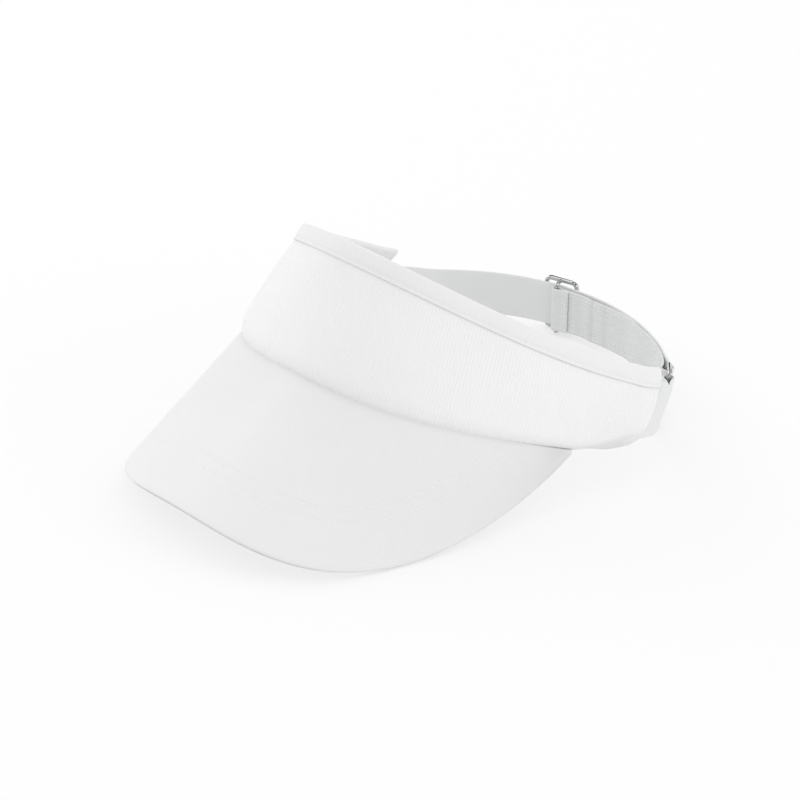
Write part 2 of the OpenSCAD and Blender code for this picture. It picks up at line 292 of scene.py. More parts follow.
def addCamera():
    turn, lift = radians(view["azimuth"]), radians(view["elevation"])
    back = Vector((sin(turn) * cos(lift), -cos(turn) * cos(lift), sin(lift)))
    deselectAll()
    bpy.ops.object.camera_add(location=Vector(view["target"]) + back * view["distance"])
    camera = bpy.context.object
    camera.rotation_euler = back.to_track_quat("Z", "Y").to_euler()
    camera.data.sensor_width = 36
    camera.data.lens = view["lens"]
    camera.data.clip_start = 0.01
    bpy.context.scene.camera = camera


def darkSides(tree, background):  # only shiny metal mirrors the dark walls between the soft lamps
    place = tree.nodes.new("ShaderNodeTexCoord")
    ramp = tree.nodes.new("ShaderNodeValToRGB")
    ramp.color_ramp.elements[0].position, ramp.color_ramp.elements[0].color = 0.42, (0.03, 0.03, 0.035, 1)
    ramp.color_ramp.elements[1].position, ramp.color_ramp.elements[1].color = 0.62, (1.3, 1.3, 1.3, 1)
    bands = tree.nodes.new("ShaderNodeTexWave")
    bands.inputs["Scale"].default_value = 0.55
    bands.inputs["Distortion"].default_value = 1.5
    bands.inputs["Phase Offset"].default_value = 1.2
    tree.links.new(place.outputs["Generated"], bands.inputs["Vector"])
    tree.links.new(bands.outputs["Fac"], ramp.inputs["Fac"])
    path = tree.nodes.new("ShaderNodeLightPath")
    swap = tree.nodes.new("ShaderNodeMix")
    swap.data_type = "RGBA"
    swap.inputs["A"].default_value = (1, 1, 1, 1)
    tree.links.new(path.outputs["Is Glossy Ray"], swap.inputs["Factor"])
    tree.links.new(ramp.outputs["Color"], swap.inputs["B"])
    tree.links.new(swap.outputs["Result"], background.inputs["Color"])


def addStudio():
    scene = bpy.context.scene
    scene.view_settings.view_transform = "Standard"
    scene.world = bpy.data.worlds.new("softRoom")
    scene.world.use_nodes = True
    background = scene.world.node_tree.nodes["Background"]
    background.inputs["Color"].default_value = (1, 1, 1, 1)
    background.inputs["Strength"].default_value = studio["sky"]
    darkSides(scene.world.node_tree, background)
    for place, size, watts in studio["lamps"]:
        deselectAll()
        bpy.ops.object.light_add(type="AREA", location=place)
        lamp = bpy.context.object
        lamp.data.size, lamp.data.energy = size, watts
        lamp.rotation_euler = Vector(place).to_track_quat("Z", "Y").to_euler()
    deselectAll()
    bpy.ops.mesh.primitive_plane_add(size=studio["floorSize"])
    floor = bpy.context.object
    floor.name = "floor"
    paper = bpy.data.materials.new("studioPaper")
    paper.use_nodes = True
    shader = paper.node_tree.nodes["Principled BSDF"]
    shader.inputs["Base Color"].default_value = (studio["floorWhite"],) * 3 + (1,)
    shader.inputs["Roughness"].default_value = 0.9
    shader.inputs["Specular IOR Level"].default_value = 0.0
    shader.inputs["Emission Color"].default_value = (1, 1, 1, 1)
    shader.inputs["Emission Strength"].default_value = studio["floorGlow"]
    floor.data.materials.append(paper)


addCamera()
addStudio()
print("camera and studio ready")


# shared surface effects

def newGroup(name, inputs, outputs):
    group = bpy.data.node_groups.new(name, "ShaderNodeTree")
    for label, kind, value in inputs:
        socket = group.interface.new_socket(name=label, in_out="INPUT", socket_type="NodeSocket" + kind)
        if value is not None:
            socket.default_value = value
    for label, kind in outputs:
        group.interface.new_socket(name=label, in_out="OUTPUT", socket_type="NodeSocket" + kind)
    return group, group.nodes.new("NodeGroupInput"), group.nodes.new("NodeGroupOutput")


def calc(tree, operation, a, b=None, c=None):
    node = tree.nodes.new("ShaderNodeMath")
    node.operation = operation
    for socket, value in zip(node.inputs, (a, b, c)):
        if value is None:
            continue
        if isinstance(value, (int, float)):
            socket.default_value = value
        else:
            tree.links.new(value, socket)
    return node.outputs[0]


def noise(tree, vector, scale, detail=2.0, roughness=0.5):
    node = tree.nodes.new("ShaderNodeTexNoise")
    tree.links.new(vector, node.inputs["Vector"])
    node.inputs["Scale"].default_value = scale
    node.inputs["Detail"].default_value = detail
    node.inputs["Roughness"].default_value = roughness
    return node.outputs["Fac"]


def wave(tree, value, spacing):  # 0 to 1 and back over each spacing
    turned = calc(tree, "MULTIPLY", calc(tree, "DIVIDE", value, spacing), 2 * pi)
    return calc(tree, "MULTIPLY_ADD", calc(tree, "SINE", turned), 0.5, 0.5)


def makeRibGroup():  # upright ribs with the fine slanting twill line between them
    group, source, result = newGroup(
        "twillRibs",
        [("Cloth", "Vector", None), ("Rib Spacing", "Float", 0.0018), ("Line Spacing", "Float", 0.0007),
         ("Waver", "Float", 0.0006), ("Rib Share", "Float", 0.7)],
        [("Height", "Float"), ("Shade", "Float")])
    cloth = source.outputs["Cloth"]
    split = group.nodes.new("ShaderNodeSeparateXYZ")
    group.links.new(cloth, split.inputs[0])
    drift = calc(group, "MULTIPLY", calc(group, "SUBTRACT", noise(group, cloth, 60, 3), 0.5), source.outputs["Waver"])
    along = calc(group, "ADD", split.outputs["X"], drift)
    rib = calc(group, "POWER", wave(group, along, source.outputs["Rib Spacing"]), 0.8)
    patch = calc(group, "MULTIPLY_ADD", noise(group, cloth, 34, 2), 1.3, 0.1)
    rib = calc(group, "MULTIPLY", rib, patch)
    across = calc(group, "ADD", calc(group, "MULTIPLY", along, 1.8), split.outputs["Y"])
    slant = wave(group, across, source.outputs["Line Spacing"])
    fuzz = noise(group, cloth, 2600, 2, 0.7)
    rest = calc(group, "ADD", calc(group, "MULTIPLY", slant, 0.55), calc(group, "MULTIPLY", fuzz, 0.45))
    height = calc(group, "ADD", calc(group, "MULTIPLY", rib, source.outputs["Rib Share"]),
                  calc(group, "MULTIPLY", rest, calc(group, "SUBTRACT", 1.0, source.outputs["Rib Share"])))
    group.links.new(height, result.inputs["Height"])
    group.links.new(calc(group, "MULTIPLY_ADD", height, 0.8, 0.1), result.inputs["Shade"])
    return group


def makeWeaveGroup():  # plain weave of threads over and under each other
    group, source, result = newGroup(
        "plainWeave",
        [("Cloth", "Vector", None), ("Thread Spacing", "Float", 0.0006), ("Fuzz", "Float", 0.4)],
        [("Height", "Float"), ("Shade", "Float")])
    cloth = source.outputs["Cloth"]
    split = group.nodes.new("ShaderNodeSeparateXYZ")
    group.links.new(cloth, split.inputs[0])
    warp = wave(group, split.outputs["X"], source.outputs["Thread Spacing"])
    weft = wave(group, split.outputs["Y"], source.outputs["Thread Spacing"])
    over = calc(group, "ABSOLUTE", calc(group, "SUBTRACT", warp, weft))
    fuzz = noise(group, cloth, 3200, 3, 0.7)
    height = calc(group, "ADD", calc(group, "MULTIPLY", over, calc(group, "SUBTRACT", 1.0, source.outputs["Fuzz"])),
                  calc(group, "MULTIPLY", fuzz, source.outputs["Fuzz"]))
    group.links.new(height, result.inputs["Height"])
    group.links.new(height, result.inputs["Shade"])
    return group


def makeToneAndShadeGroup():  # slow unevenness of bleached cotton, plus painted shade: the weave's low threads and the marked folds, seams and edges are made darker
    group, source, result = newGroup(
        "toneAndShade",
        [("Place", "Vector", None), ("Light", "Color", (0.9, 0.9, 0.9, 1)), ("Dark", "Color", (0.8, 0.8, 0.8, 1)),
         ("Shade", "Float", 0.5), ("Shade Share", "Float", 0.3), ("Crease", "Float", 0.0)],
        [("Color", "Color"), ("Mask", "Float")])
    slow = noise(group, source.outputs["Place"], 18, 3)
    mask = calc(group, "MULTIPLY_ADD", calc(group, "SUBTRACT", slow, 0.5), 0.5, 0.25)
    pits = calc(group, "SUBTRACT", 0.5, source.outputs["Shade"])
    mask = calc(group, "ADD", mask, calc(group, "MULTIPLY", pits, source.outputs["Shade Share"]))
    mask = calc(group, "ADD", mask, source.outputs["Crease"])
    mask = calc(group, "MINIMUM", calc(group, "MAXIMUM", mask, 0.0), 1.0)
    blend = group.nodes.new("ShaderNodeMix")
    blend.data_type = "RGBA"
    group.links.new(mask, blend.inputs["Factor"])
    group.links.new(source.outputs["Light"], blend.inputs["A"])
    group.links.new(source.outputs["Dark"], blend.inputs["B"])
    group.links.new(blend.outputs["Result"], result.inputs["Color"])
    group.links.new(mask, result.inputs["Mask"])
    return group


twillRibs, plainWeave, toneAndShade = makeRibGroup(), makeWeaveGroup(), makeToneAndShadeGroup()


def placeGroup(tree, group, links=None, **values):
    node = tree.nodes.new("ShaderNodeGroup")
    node.node_tree = group
    for name, value in values.items():
        node.inputs[name.replace("_", " ")].default_value = value
    for name, output in (links or {}).items():
        tree.links.new(output, node.inputs[name])
    return node


def clothMaterial(name, look):
    material = bpy.data.materials.new(name)
    material.use_nodes = True
    tree = material.node_tree
    shader = tree.nodes["Principled BSDF"]
    coords = tree.nodes.new("ShaderNodeTexCoord")
    cloth = coords.outputs["UV" if look.get("onCloth", True) else "Object"]
    if look.get("ribsAlong"):  # ribs that run with the strap
        parts, turned = tree.nodes.new("ShaderNodeSeparateXYZ"), tree.nodes.new("ShaderNodeCombineXYZ")
        tree.links.new(cloth, parts.inputs[0])
        tree.links.new(parts.outputs["Y"], turned.inputs["X"])
        tree.links.new(parts.outputs["X"], turned.inputs["Y"])
        cloth = turned.outputs[0]
    if look["weave"] == "twill":
        weave = placeGroup(tree, twillRibs, {"Cloth": cloth}, Rib_Spacing=look["spacing"], Rib_Share=look["ribShare"])
    else:
        weave = placeGroup(
            tree, plainWeave, {"Cloth": cloth}, Thread_Spacing=look["spacing"], Fuzz=look.get("fuzz", 0.4))
    # painted shade: a per-point attribute darkens the base colour at folds, seams and edges
    creaseShade = tree.nodes.new("ShaderNodeAttribute")
    creaseShade.attribute_name = "creaseShade"
    toneShade = placeGroup(
        tree, toneAndShade,
        {"Place": coords.outputs["Object"], "Shade": weave.outputs["Shade"], "Crease": creaseShade.outputs["Fac"]},
        Light=look["light"] + (1,), Dark=look["dark"] + (1,), Shade_Share=look["shadeShare"])
    tree.links.new(toneShade.outputs["Color"], shader.inputs["Base Color"])
    rough = calc(tree, "MULTIPLY_ADD", toneShade.outputs["Mask"], 0.12, look["rough"])
    tree.links.new(rough, shader.inputs["Roughness"])
    shader.inputs["Specular IOR Level"].default_value = look.get("gloss", 0.15)
    shader.inputs["Sheen Weight"].default_value = look.get("sheen", 0.15)
    shader.inputs["Sheen Roughness"].default_value = 0.5
    bump = tree.nodes.new("ShaderNodeBump")
    bump.inputs["Distance"].default_value = look["depth"]
    bump.inputs["Strength"].default_value = 0.7
    tree.links.new(weave.outputs["Height"], bump.inputs["Height"])
    groove = tree.nodes.new("ShaderNodeAttribute")
    groove.attribute_name = "groove"
    sunk = tree.nodes.new("ShaderNodeBump")
    sunk.inputs["Distance"].default_value = 0.0002
    tree.links.new(groove.outputs["Fac"], sunk.inputs["Height"])
    tree.links.new(bump.outputs["Normal"], sunk.inputs["Normal"])
    tree.links.new(sunk.outputs["Normal"], shader.inputs["Normal"])
    return material


panelTwill = clothMaterial("panelTwill", {
    "weave": "twill", "spacing": 0.0014, "ribShare": 0.7, "depth": 0.00032,
    "light": (0.87, 0.87, 0.87), "dark": (0.765, 0.765, 0.765),
    "shadeShare": 0.5, "rough": 0.8,
})
peakTwill = clothMaterial("peakTwill", {
    "weave": "twill", "spacing": 0.0009, "ribShare": 0.25, "depth": 0.00015,
    "light": (0.825, 0.825, 0.825), "dark": (0.735, 0.735, 0.735),
    "shadeShare": 0.15, "rough": 0.78,
})
bindingTape = clothMaterial("bindingTape", {
    "weave": "plain", "spacing": 0.0007, "depth": 0.0001,
    "light": (0.82, 0.82, 0.82), "dark": (0.71, 0.71, 0.71),
    "shadeShare": 0.15, "rough": 0.8,
})
bandCotton = clothMaterial("bandCotton", {
    "weave": "plain", "spacing": 0.0009, "fuzz": 0.7, "depth": 0.00015,
    "light": (0.83, 0.83, 0.83), "dark": (0.73, 0.73, 0.73),
    "shadeShare": 0.2, "rough": 0.85, "sheen": 0.3,
})
liningWeave = clothMaterial("liningWeave", {
    "weave": "plain", "spacing": 0.0011, "depth": 0.00012,
    "light": (0.79, 0.8, 0.8), "dark": (0.69, 0.7, 0.7),
    "shadeShare": 0.25, "rough": 0.85,
})
strapTwill = clothMaterial("strapTwill", {
    "weave": "twill", "ribsAlong": True, "spacing": 0.0015, "ribShare": 0.7, "depth": 0.0003,
    "light": (0.77, 0.775, 0.775), "dark": (0.62, 0.63, 0.63),
    "shadeShare": 0.5, "rough": 0.8,
})
strapSmooth = clothMaterial("strapSmooth", {
    "weave": "plain", "spacing": 0.0006, "fuzz": 0.3, "depth": 0.00005,
    "light": (0.77, 0.775, 0.775), "dark": (0.7, 0.71, 0.705),
    "shadeShare": 0.1, "rough": 0.7,
})
sewingThread = clothMaterial("sewingThread", {
    "weave": "twill", "onCloth": False, "spacing": 0.0004, "ribShare": 0.6, "depth": 0.00006,
    "light": (0.87, 0.87, 0.87), "dark": (0.77, 0.77, 0.77),
    "shadeShare": 0.3, "rough": 0.6, "gloss": 0.3,
})


def makeNickel():
    material = bpy.data.materials.new("brightNickel")
    material.use_nodes = True
    tree = material.node_tree
    shader = tree.nodes["Principled BSDF"]
    place = tree.nodes.new("ShaderNodeTexCoord").outputs["Object"]
    shader.inputs["Metallic"].default_value = 1.0
    haze = noise(tree, place, 140, 4, 0.6)
    tint = tree.nodes.new("ShaderNodeMix")
    tint.data_type = "RGBA"
    tint.inputs["A"].default_value = (0.66, 0.665, 0.67, 1)
    tint.inputs["B"].default_value = (0.42, 0.42, 0.43, 1)
    tree.links.new(haze, tint.inputs["Factor"])
    tree.links.new(tint.outputs["Result"], shader.inputs["Base Color"])
    tree.links.new(calc(tree, "MULTIPLY_ADD", haze, 0.16, 0.05), shader.inputs["Roughness"])
    bump = tree.nodes.new("ShaderNodeBump")
    bump.inputs["Distance"].default_value = 0.00002
    bump.inputs["Strength"].default_value = 0.4
    tree.links.new(noise(tree, place, 900, 2), bump.inputs["Height"])
    tree.links.new(bump.outputs["Normal"], shader.inputs["Normal"])
    return material


def makeBoardPlastic():
    material = bpy.data.materials.new("mouldedBoard")
    material.use_nodes = True
    tree = material.node_tree
    shader = tree.nodes["Principled BSDF"]
    place = tree.nodes.new("ShaderNodeTexCoord").outputs["Object"]
    flow = noise(tree, place, 55, 3)
    tint = tree.nodes.new("ShaderNodeMix")
    tint.data_type = "RGBA"
    tint.inputs["A"].default_value = (0.92, 0.92, 0.89, 1)
    tint.inputs["B"].default_value = (0.86, 0.86, 0.82, 1)
    tree.links.new(flow, tint.inputs["Factor"])
    tree.links.new(tint.outputs["Result"], shader.inputs["Base Color"])
    tree.links.new(calc(tree, "MULTIPLY_ADD", flow, 0.15, 0.45), shader.inputs["Roughness"])
    bump = tree.nodes.new("ShaderNodeBump")
    bump.inputs["Distance"].default_value = 0.00008
    tree.links.new(noise(tree, place, 1500, 2), bump.inputs["Height"])
    tree.links.new(bump.outputs["Normal"], shader.inputs["Normal"])
    return material


brightNickel, mouldedBoard = makeNickel(), makeBoardPlastic()
print("materials ready")


# stitches

def modelStitch(length, width):
    deselectAll()
    bpy.ops.mesh.primitive_uv_sphere_add(segments=6, ring_count=5, radius=0.5)
    stitch = bpy.context.object
    for v in stitch.data.vertices:  # poles along the thread, ends pulled into the cloth
        x, y, z = v.co.z, v.co.x, v.co.y
        v.co = (x * length * mm, y * width * mm, (z * width * 0.8 - 1.2 * width * (2 * x) ** 4 * 0.5) * mm)
    turnOutward(stitch)
    bpy.ops.object.shade_smooth()
    return stitch


def sewRow(name, stations, length, width, body, slot, *nodes):
    # stations are (place, way along, way out); one stitch is modelled and copied to each
    stitch = modelStitch(length, width)
    copies = []
    for place, along, out in stations:
        copy = stitch.copy()
        copy.data = stitch.data.copy()
        bpy.context.collection.objects.link(copy)
        along = along.normalized()
        side = out.cross(along).normalized()
        up = along.cross(side)
        copy.matrix_world = Matrix.Translation(place * mm) @ Matrix((along, side, up)).transposed().to_4x4()
        copies.append(copy)
    bpy.data.objects.remove(stitch)
    deselectAll()
    for copy in copies:
        copy.select_set(True)
    row = copies[0]
    bpy.context.view_layer.objects.active = row
    bpy.ops.object.join()
    bpy.ops.object.transform_apply(location=True, rotation=True, scale=True)
    row.name = row.data.name = name
    finishPiece(row, body, sewingThread, slot, *nodes)


def stationsAlong(points, outs, pitch, start=0.0, stop=1.0):
    # stitch places at a pitch along a line of points, with the way out of the cloth at each
    lengths = [0.0]
    for a, b in zip(points, points[1:]):
        lengths.append(lengths[-1] + (b - a).length)
    first, last = lengths[-1] * start, lengths[-1] * stop
    count = max(1, int((last - first) / pitch))
    stations, k = [], 0
    for i in range(count):
        want = first + pitch * (i + 0.5)
        while k < len(points) - 2 and lengths[k + 1] < want:
            k += 1
        t = (want - lengths[k]) / max(1e-9, lengths[k + 1] - lengths[k])
        out = outs[k].lerp(outs[k + 1], t).normalized()
        stations.append((points[k].lerp(points[k + 1], t), points[k + 1] - points[k], out))
    return stations


# crown panel

panelCloth = {"columns": 200, "rows": 44, "thick": 0.7, "hem": 7.0, "foldRadius": 0.5, "sag": 1.8}


def panelSection(u):
    # from the turned-up hem inside, round the lower edge, up the puffed face to the binding
    place = wallFrame(mix(-crown["end"], crown["end"], u))
    height, p = place[3], panelCloth
    r = p["foldRadius"]
    middle = 0.35 - r
    a = mix(-crown["end"], crown["end"], u)
    sag = p["sag"] * 2.718 ** -(((abs(a) - 28) / 20) ** 2)
    line = [wall(place, up, middle - r) for up in span(p["hem"], r, 4)]
    for k in span(0, 180, 8)[1:-1]:
        line.append(wall(place, r - (r + sag) * sind(k), middle - r * cosd(k) + 0.5 * sag * sind(k / 2), k / 180))
    for up in span(r, 9, 16):
        over = sag * (1 - smooth((up - r) / 5))
        line.append(wall(place, up - over * (1 - smooth((up - r) / 3)), 0.35 + 0.5 * over, 1))
    line += [wall(place, up, 0.35, 1) for up in span(9, height - 0.4, 24)[1:]]
    return line


# painted shade: the panel is made darker along its seam with the peak and in a thin line at the binding's lower edge
def panelSeamShade(u, w, spot):
    place = wallFrame(mix(-crown["end"], crown["end"], u))
    up = (spot - place[0]).dot(place[1])
    return 0.9 * max(0, 1 - up / 2.6) + 0.3 * max(0, 1 - abs(place[3] - 6.9 - up) / 0.9)


panel = clothStrip("crownPanel", panelCloth["columns"], panelCloth["rows"], panelSection, {"creaseShade": panelSeamShade})
thicken(panel, panelCloth["thick"])
finishPiece(panel, "root", panelTwill, "twill", "crown_panel")


# interlining and turned-up seam edges behind the panel

def layerBehind(name, reach, low, high, out, thick, material, slot, node, share):
    def section(u):
        place = wallFrame(mix(-reach, reach, u))
        top = high(place[3])
        return [wall(place, up, out, share) for up in span(low, top, 24)]
    piece = clothStrip(name, 120, 14, section)
    thicken(piece, thick)
    finishPiece(piece, "root", material, slot, node)


layerBehind(
    "panelBacking", crown["end"] - 0.4, 1.2, lambda h: h - 0.6, -0.35, 0.5,
    liningWeave, "lining", "panel_backing", 1)
layerBehind(
    "peakSeamAllowance", peakForm["corner"] - 2, 0.8, lambda h: 11.0, -0.9, 0.6,
    peakTwill, "peak_twill", "peak_seam_allowance", 0)


# top binding

binding = {
    "columns": 330, "rows": 34, "width": 7.2, "thick": 0.5, "outer": 1.0, "inner": -0.95,
    "pitch": 2.8, "rowUp": 1.5, "pucker": 0.1, "puckerLength": 290,
}


def bindingSection(u):
    a = mix(-crown["end"], crown["end"], u)
    place = wallFrame(a)
    height, b = place[3], binding
    travel = u * binding["puckerLength"]
    gather = b["pucker"] * sin(2 * pi * travel / b["pitch"]) + 0.12 * sin(travel / 7.3) + 0.08 * sin(travel / 3.1 + 1)
    line = []
    low = height - b["width"]
    for w in span(0, b["width"], 30):  # turned edge, dip at the stitches, then full
        dip = 0.28 * max(0, 1 - abs(w - b["rowUp"]) / 1.0) ** 2
        full = 0.5 * smooth((w - 1.2) / 3)
        swing = gather * smooth(w / 1.5) * (1 - 0.7 * w / b["width"])
        line.append(wall(place, low + w, b["outer"] + 0.12 - dip + full + swing, 1))
    middle, r = (b["outer"] + 0.6 + b["inner"]) / 2, (b["outer"] + 0.6 - b["inner"]) / 2
    for k in span(0, 180, 12)[1:]:
        line.append(wall(place, height + r * 0.85 * sind(k), middle + r * cosd(k), 1))
    for w in span(b["width"], 0.3, 20)[1:]:
        dip = 0.2 * max(0, 1 - abs(w - b["rowUp"]) / 1.0) ** 2
        line.append(wall(place, low + w, b["inner"] + dip, 1))
    return line


# painted shade: the binding is made darker along its turned lower edge and along its stitch row
def bindingEdgeShade(u, w, spot):
    return 0.35 * max(0, 1 - w / 0.03) + 0.15 * max(0, 1 - abs(w - 0.1) / 0.03)


tape = clothStrip("topBinding", binding["columns"], binding["rows"], bindingSection, {"creaseShade": bindingEdgeShade})
thicken(tape, binding["thick"])
finishPiece(tape, "root", bindingTape, "binding", "top_binding")


def bindingRow():
    points, outs = [], []
    for a in span(-crown["end"] + 0.8, crown["end"] - 0.8, 300):
        place = wallFrame(a)
        points.append(wall(place, place[3] - binding["width"] + binding["rowUp"], binding["outer"] + 0.16, 1))
        outs.append(place[2])
    return stationsAlong(points, outs, binding["pitch"])


sewRow("bindingStitch", bindingRow(), 2.2, 0.42, "root", "thread", "binding_stitch")


# peak

peakCloth = {
    "columns": 150, "rows": 60, "thick": 0.7, "boardFace": 0.9, "rimClose": 2.6, "tuck": -0.02,
    "stitchRows": (20.0, 25.5), "rowReach": (79, 75), "pitch": 2.9,
    "flat": (0.236, 0.135), "area": 0.0166,
}


def peakSpot(u, v):  # on the flat board, u from corner to corner, v from the seam to the rim
    return seamFlat(peakForm["corner"] * u).lerp(rimFlat(90 * u), v)


rimLine = [rimFlat(a) for a in span(-90, 90, 360)]


def fromRim(spot):
    return min((spot - r).length for r in rimLine)


def coverHeight(rim):  # the two covers close in to the seam that joins them at the rim
    full = peakCloth["boardFace"] + 0.15 + peakCloth["thick"] / 2
    t = min(1, rim / peakCloth["rimClose"])
    return mix(0.34, full, sqrt(max(0, 1 - (1 - t) ** 2)))


def coverSection(side):
    def section(u):
        u = mix(-0.992, 0.992, u)
        line = []
        for v in span(0.0, 1, 50):
            v = 1 - (1 - v) ** 1.5
            spot = peakSpot(u, mix(peakCloth["tuck"] if side > 0 else 0.004, 0.998, v))
            line.append(bent(spot, side * coverHeight(fromRim(spot))))
        return line if side > 0 else line[::-1]
    return section


def flatOf(point):  # back from the bent board to the flat one
    r, t = peakForm["bend"], peakForm["tilt"]
    y = crown["centre"] - crown["browDepth"] - point.y
    z = crown["browHeight"] - point.z
    f = y * cosd(t) + z * sind(t)
    drop = z * cosd(t) - y * sind(t)
    return Vector((r * atan2(point.x, r - drop), f))


def coverGroove(u, w, spot):
    rim = fromRim(flatOf(spot))
    return -sum(max(0, 1 - abs(rim - row) / 1.1) for row in peakCloth["stitchRows"])


# painted shade: the covers are made darker where they close in at the rim and along their seam with the panel
def coverSeamShade(u, w, spot):
    flat = flatOf(spot)
    rim = fromRim(flat)
    seam = 0.02 if spot.z > bent(flat, 0).z else 0.98
    return 0.35 * max(0, 1 - rim / 1.2) + 0.8 * max(0, 1 - abs(w - seam) / 0.035)


for side, name, node in ((1, "peakTopCover", "peak_top_cover"), (-1, "peakUnderCover", "peak_under_cover")):
    marks = {"groove": coverGroove, "creaseShade": coverSeamShade}
    cover = clothStrip(name, peakCloth["columns"], peakCloth["rows"], coverSection(side), marks)
    thicken(cover, peakCloth["thick"])
    finishPiece(cover, "root", peakTwill, "peak_twill", node)

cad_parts["peak_board"].material_slots[0].material = mouldedBoard


def peakRow(inset, reach):
    points, outs = [], []
    for a in span(-reach, reach, 240):
        edge = (rimFlat(a + 0.3) - rimFlat(a - 0.3)).normalized()
        spot = rimFlat(a) + Vector((edge.y, -edge.x)) * inset
        points.append(bent(spot, 1.72))
        outs.append(bent(spot, 2) - bent(spot, 1))
    return stationsAlong(points, outs, peakCloth["pitch"])


for name, node, inset, reach in zip(
        ("peakStitchOuter", "peakStitchInner"), ("peak_stitch_outer", "peak_stitch_inner"),
        peakCloth["stitchRows"], peakCloth["rowReach"]):
    sewRow(name, peakRow(inset, reach), 2.4, 0.5, "root", "thread", node)


# sweatband, filled by a short cloth simulation

sweat = {
    "reach": 91, "height": 24.0, "outer": -1.9, "inner": -4.3, "rowUp": 4.0, "pitch": 3.0,
    "columns": 150, "rows": 34, "pressure": 3.0, "cap": 1.1, "fill": 0.35,
}


def sweatSection(u):
    q = sweat
    place = wallFrame(mix(-q["reach"], q["reach"], u))
    middle, r = (q["outer"] + q["inner"]) / 2, (q["outer"] - q["inner"]) / 2
    top, low = q["height"] - r, 1.0 + r
    line = [wall(place, up, q["outer"]) for up in span(low, top, 12)]
    line += [wall(place, top + r * sind(k), middle + r * cosd(k)) for k in span(0, 180, 10)[1:]]
    for up in span(top, low, 16)[1:]:
        pinch = 0.9 * max(0, 1 - abs(up - q["rowUp"]) / 1.4) ** 2
        line.append(wall(place, up, q["inner"] + pinch))
    line += [wall(place, low - r * sind(k), middle - r * cosd(k)) for k in span(0, 180, 10)[1:]]
    return line


def heldSpot(u, w, spot):  # what is sewn or lies against the panel doesn't swell
    place = wallFrame(mix(-sweat["reach"], sweat["reach"], u))
    up, out = (spot - place[0]).dot(place[1]), (spot - place[0]).dot(place[2])
    return 1.0 if out > -3.0 or abs(up - sweat["rowUp"]) < 0.9 or up < 1.6 or u < 0.02 or u > 0.98 else 0.0


def swell(piece, held, pressure, cap, frames=20):
    activate(piece)
    group = piece.vertex_groups.new(name="held")
    rest = [v.co.copy() for v in piece.data.vertices]
    for v in piece.data.vertices:
        group.add([v.index], held.data[v.index].value, "REPLACE")
    bpy.ops.object.modifier_add(type="CLOTH")
    cloth = piece.modifiers[-1]
    cloth.settings.quality = 6
    cloth.settings.mass = 0.2
    cloth.settings.tension_stiffness = cloth.settings.compression_stiffness = 30
    cloth.settings.bending_stiffness = 2
    cloth.settings.use_pressure = True
    cloth.settings.uniform_pressure_force = pressure
    cloth.settings.vertex_group_mass = "held"
    cloth.settings.effector_weights.gravity = 0
    cloth.collision_settings.use_collision = False
    scene = bpy.context.scene
    for number in range(1, frames + 1):
        scene.frame_set(number)
    bpy.ops.object.modifier_apply(modifier=cloth.name)
    for v, start in zip(piece.data.vertices, rest):
        move = v.co - start
        if move.length > cap * mm:
            v.co = start + move.normalized() * cap * mm
    scene.frame_set(1)


band = clothStrip("browBand", sweat["columns"], sweat["rows"], sweatSection, {"held": heldSpot})
turnOutward(band)
activate(band)
bpy.ops.object.mode_set(mode="EDIT")
bpy.ops.mesh.select_all(action="SELECT")
bpy.ops.mesh.fill_holes(sides=0)
bpy.ops.mesh.normals_make_consistent(inside=False)
bpy.ops.object.mode_set(mode="OBJECT")
swell(band, band.data.attributes["held"], sweat["pressure"], sweat["cap"])
useModifier(band, "SUBSURF", levels=1, render_levels=1)
activate(band)
bpy.ops.object.shade_smooth()
finishPiece(band, "root", bandCotton, "band_cloth", "sweatband", "sweatband_foam")


def sweatRow():
    points, outs = [], []
    for a in span(-sweat["reach"] + 1.5, sweat["reach"] - 1.5, 240):
        place = wallFrame(a)
        points.append(wall(place, sweat["rowUp"], sweat["inner"] + 0.75))
        outs.append(-place[2])
    return stationsAlong(points, outs, sweat["pitch"])


sewRow("sweatbandStitch", sweatRow(), 2.5, 0.45, "root", "thread", "sweatband_stitch")


# strap, in bands of (lower edge, upper edge) along its middle layer

def arcBand(a, r):
    return run(a, r, strapForm["low"]), run(a, r, strapForm["high"])


def sewnBands(side, out, top):  # the end of a strap between the panel's layers
    bands = []
    for k in (6, 3, 0):
        place = wallFrame(side * (crown["end"] - k))
        bands.append((wall(place, 1.5, out), wall(place, top, out)))
    return bands


def tailBands(side, start, end, heading, reach, bulge):
    last, before = wallFrame(side * crown["end"]), wallFrame(side * (crown["end"] - 4))
    leave = (wall(last, 12, 0) - wall(before, 12, 0)).normalized()
    bands = []
    for t in span(0, 1, 10)[1:-1]:
        band = []
        for p, q in zip(start, end):
            a, b = p + leave * reach, q - heading * reach
            spot = p * (1 - t) ** 3 + a * 3 * t * (1 - t) ** 2 + b * 3 * t * t * (1 - t) + q * t ** 3
            band.append(spot + Vector((side * bulge * sind(180 * t), 0, 0)))
        bands.append(tuple(band))
    return bands


def loopBands(angle, r, s, mid, a, b):  # round a bar of a fitting
    edges = (strapForm["low"], strapForm["high"])
    return [tuple(fitting(angle, r, s + mid * cosd(k), mid * sind(k), z) for z in edges) for k in span(a, b, 16)]


def bandMiddles(bands):
    return [(low + high) / 2 for low, high in bands]


def bandAt(bands, lengths, t):
    want, k = lengths[-1] * t, 0
    while k < len(bands) - 2 and lengths[k + 1] < want:
        k += 1
    step = max(1e-9, lengths[k + 1] - lengths[k])
    share = (want - lengths[k]) / step
    return bands[k][0].lerp(bands[k + 1][0], share), bands[k][1].lerp(bands[k + 1][1], share)


def rounded(bands, times=3):  # eases the corners between stretches of the strap
    for _ in range(times):
        bands = [bands[0]] + [
            tuple(b[i] * 0.5 + (a[i] + c[i]) * 0.25 for i in (0, 1))
            for a, b, c in zip(bands, bands[1:], bands[2:])] + [bands[-1]]
    return bands


